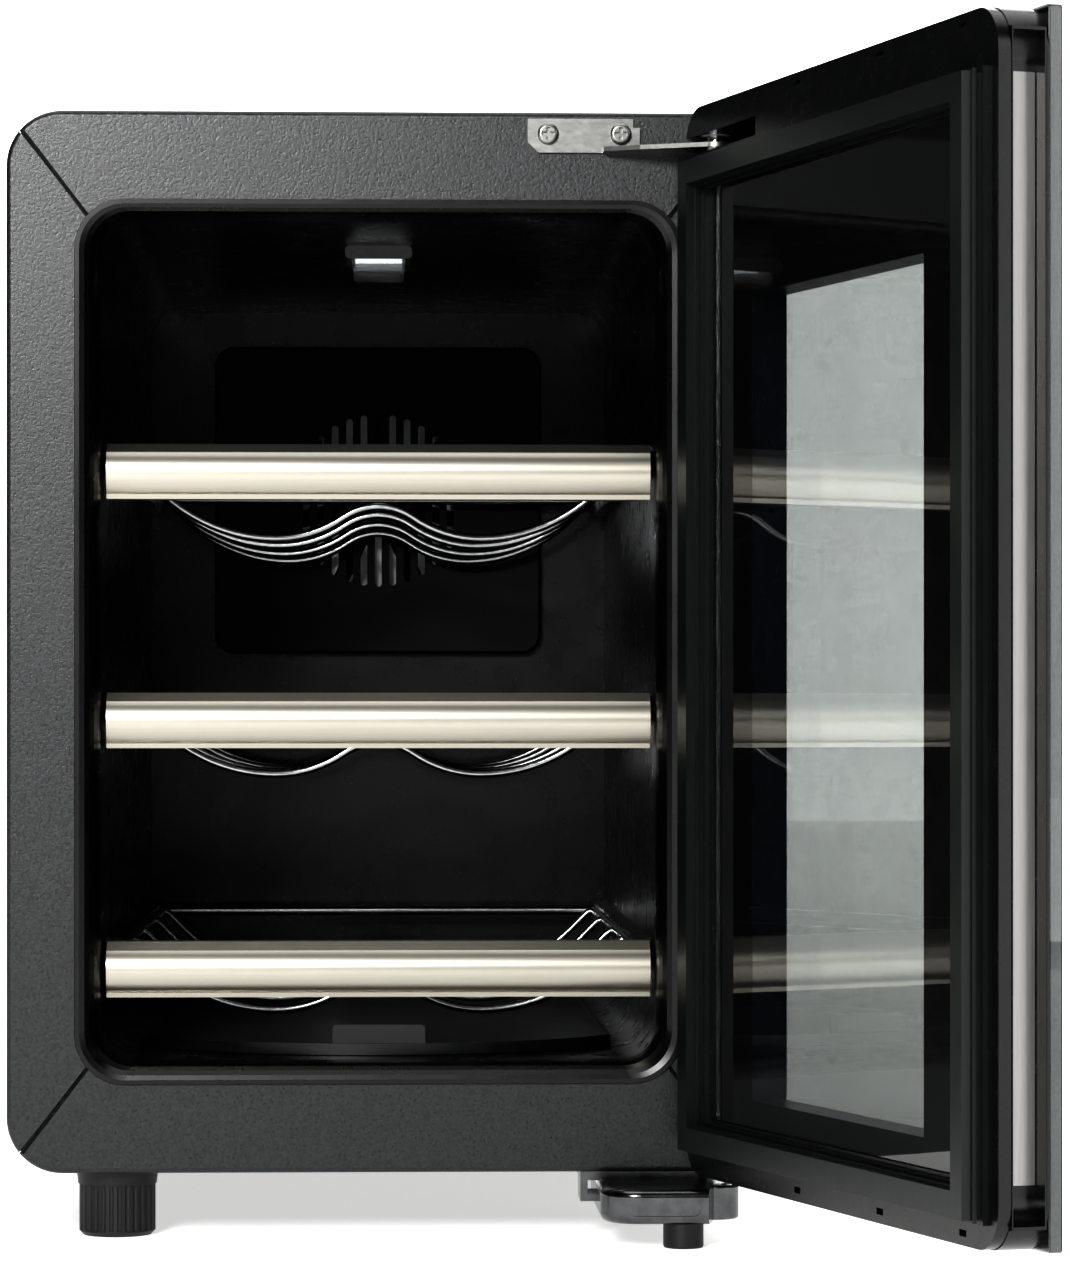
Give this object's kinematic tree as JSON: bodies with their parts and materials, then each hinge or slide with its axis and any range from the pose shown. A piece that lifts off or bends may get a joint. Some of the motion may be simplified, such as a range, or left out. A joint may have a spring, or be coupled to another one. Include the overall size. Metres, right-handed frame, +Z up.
{
  "type": "wine cooler",
  "caption": "Free-standing thermoelectric wine cooler with a glass door, sliding wire bottle shelves with metal fronts, a drip tray and a levelling foot.",
  "frame": {"origin": "on the floor, under the centre of the cabinet's footprint", "axes": "+X to the right of someone facing the door, +Y into the depth away from the door, +Z up"},
  "size_m": [0.3225, 0.717, 0.3825],
  "materials": {
    "textured_abs": "satin",
    "painted_steel": "satin",
    "base_abs": "matte",
    "liner_abs": "satin",
    "foam": "matte",
    "galvanised_steel": "satin",
    "zinc_steel": "satin",
    "chrome_casting": "gloss",
    "chromed_wire": "gloss",
    "hinge_steel": "polished",
    "champagne_aluminium": "satin",
    "mill_aluminium": "satin",
    "grip_strip": "satin",
    "fan_plastic": "satin",
    "ceramic_module": "matte",
    "circuit_board": "satin",
    "supply_case": "satin",
    "inlet_plastic": "satin",
    "sensor_cap": "satin",
    "lamp_plastic": "satin",
    "clear_lens": "gloss",
    "foot_plastic": "satin",
    "foot_rubber": "matte",
    "door_abs": "satin",
    "soft_pvc": "satin",
    "magnet_strip": "matte",
    "tinted_glass": "gloss",
    "clear_glass": "gloss",
    "bush_nylon": "satin",
    "tray_plastic": "satin"
  },
  "bodies": {
    "cabinet": {"front_frame_top": "textured_abs", "front_frame_bottom": "textured_abs", "front_frame_left": "textured_abs", "front_frame_right": "textured_abs", "outer_shell": "painted_steel", "base_pan": "base_abs", "inner_liner": "liner_abs", "foam_insulation": "foam", "rear_bulkhead": "galvanised_steel", "rear_cover": "base_abs", "rear_screws": "zinc_steel", "rear_feet": "foot_rubber", "top_hinge_plate": "zinc_steel", "top_hinge_pin": "hinge_steel", "top_hinge_screws": "zinc_steel", "bottom_hinge_bracket": "chrome_casting", "bottom_hinge_pin": "hinge_steel", "bottom_hinge_screws": "zinc_steel", "hinge_foot": "foot_plastic", "cold_sink": "mill_aluminium", "cold_block": "mill_aluminium", "thermoelectric_module": "ceramic_module", "hot_sink": "mill_aluminium", "cold_fan_frame": "fan_plastic", "hot_fan_frame": "fan_plastic", "interior_fan_cover": "liner_abs", "power_supply": "supply_case", "control_board": "circuit_board", "mains_inlet": "inlet_plastic", "temperature_sensor": "sensor_cap", "lamp_housing": "lamp_plastic", "lamp_board": "circuit_board", "lamp_lens": "clear_lens"},
    "door": {"door_frame": "door_abs", "door_inner_frame": "door_abs", "finger_grip": "door_abs", "finger_grip_strip": "grip_strip", "outer_glass": "tinted_glass", "inner_glass": "clear_glass", "glass_spacer": "mill_aluminium", "door_gasket": "soft_pvc", "gasket_magnets": "magnet_strip", "touch_control_board": "circuit_board", "top_hinge_bush": "bush_nylon", "bottom_hinge_bush": "bush_nylon"},
    "cold_fan": {"cold_fan_rotor": "fan_plastic"},
    "hot_fan": {"hot_fan_rotor": "fan_plastic"},
    "front_foot_stud": {"front_foot_stud": "zinc_steel"},
    "front_foot": {"front_foot": "foot_plastic"},
    "drip_tray": {"drip_tray": "tray_plastic"},
    "shelf_1": {"shelf_1_rack": "chromed_wire", "shelf_1_trim": "champagne_aluminium", "shelf_1_screws": "zinc_steel"},
    "shelf_2": {"shelf_2_rack": "chromed_wire", "shelf_2_trim": "champagne_aluminium", "shelf_2_screws": "zinc_steel"},
    "shelf_3": {"shelf_3_rack": "chromed_wire", "shelf_3_trim": "champagne_aluminium", "shelf_3_screws": "zinc_steel"}
  },
  "joints": [
    {"name": "door_hinge", "type": "hinge", "parent": "cabinet", "child": "door", "pos_m": [0.1135, -0.2494, 0.2], "axis": [0, 0, 1], "range_deg": [-107, 8]},
    {"name": "shelf_1_slide", "type": "slide", "parent": "cabinet", "child": "shelf_1", "axis": [0, -1, 0], "range_m": [0, 0.25]},
    {"name": "shelf_2_slide", "type": "slide", "parent": "cabinet", "child": "shelf_2", "axis": [0, -1, 0], "range_m": [0, 0.25]},
    {"name": "shelf_3_slide", "type": "slide", "parent": "cabinet", "child": "shelf_3", "axis": [0, -1, 0], "range_m": [0, 0.25]},
    {"name": "drip_tray_slide", "type": "slide", "parent": "cabinet", "child": "drip_tray", "axis": [0, -1, 0], "range_m": [0, 0.3]},
    {"name": "cold_fan_spin", "type": "hinge", "parent": "cabinet", "child": "cold_fan", "pos_m": [0, 0.135, 0.2675], "axis": [0, 1, 0], "continuous": true},
    {"name": "hot_fan_spin", "type": "hinge", "parent": "cabinet", "child": "hot_fan", "pos_m": [0, 0.2185, 0.2675], "axis": [0, 1, 0], "continuous": true},
    {"name": "front_foot_travel", "type": "slide", "parent": "cabinet", "child": "front_foot_stud", "axis": [0, 0, -1], "range_m": [0, 0.008]},
    {"name": "front_foot_turn", "type": "hinge", "parent": "front_foot_stud", "child": "front_foot", "pos_m": [-0.0895, -0.215, 0.01], "axis": [0, 0, -1], "range_deg": [0, 2304]}
  ],
  "couplings": [
    {"joint": "front_foot_turn", "follows": "front_foot_travel", "rad_per_m": 5026.5}
  ]
}
